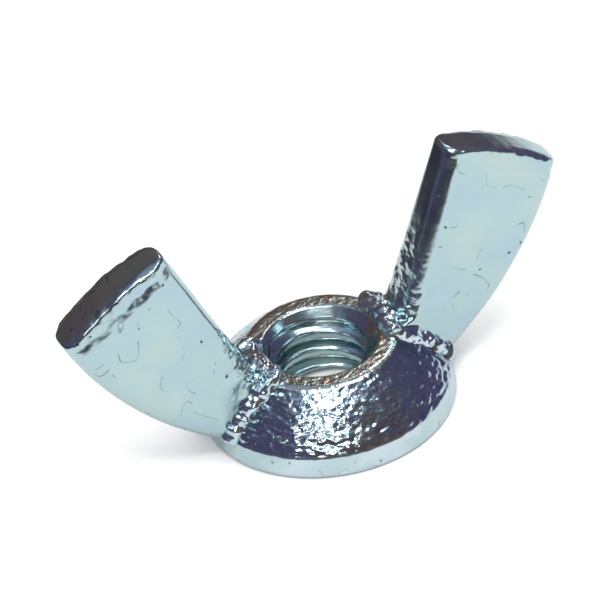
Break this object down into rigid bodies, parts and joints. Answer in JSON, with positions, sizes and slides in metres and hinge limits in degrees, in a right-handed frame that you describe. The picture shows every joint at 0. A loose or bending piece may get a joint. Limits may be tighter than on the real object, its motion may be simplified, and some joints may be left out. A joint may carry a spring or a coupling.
{
  "type": "wing nut",
  "caption": "Forged wing nut with a flared round base, a coarse threaded hole and two raised rounded wings for turning by hand.",
  "frame": {"origin": "middle of the flat seat, on the thread axis", "axes": "+Z along the thread away from the seat, +X towards the right wing, wing faces look along Y"},
  "size_m": [0.031, 0.0148, 0.0145],
  "materials": {
    "zinc_plated_steel": "bright zinc plate over forged steel"
  },
  "bodies": {
    "root": {"boss": "zinc_plated_steel", "left_wing": "zinc_plated_steel", "right_wing": "zinc_plated_steel"}
  },
  "joints": []
}
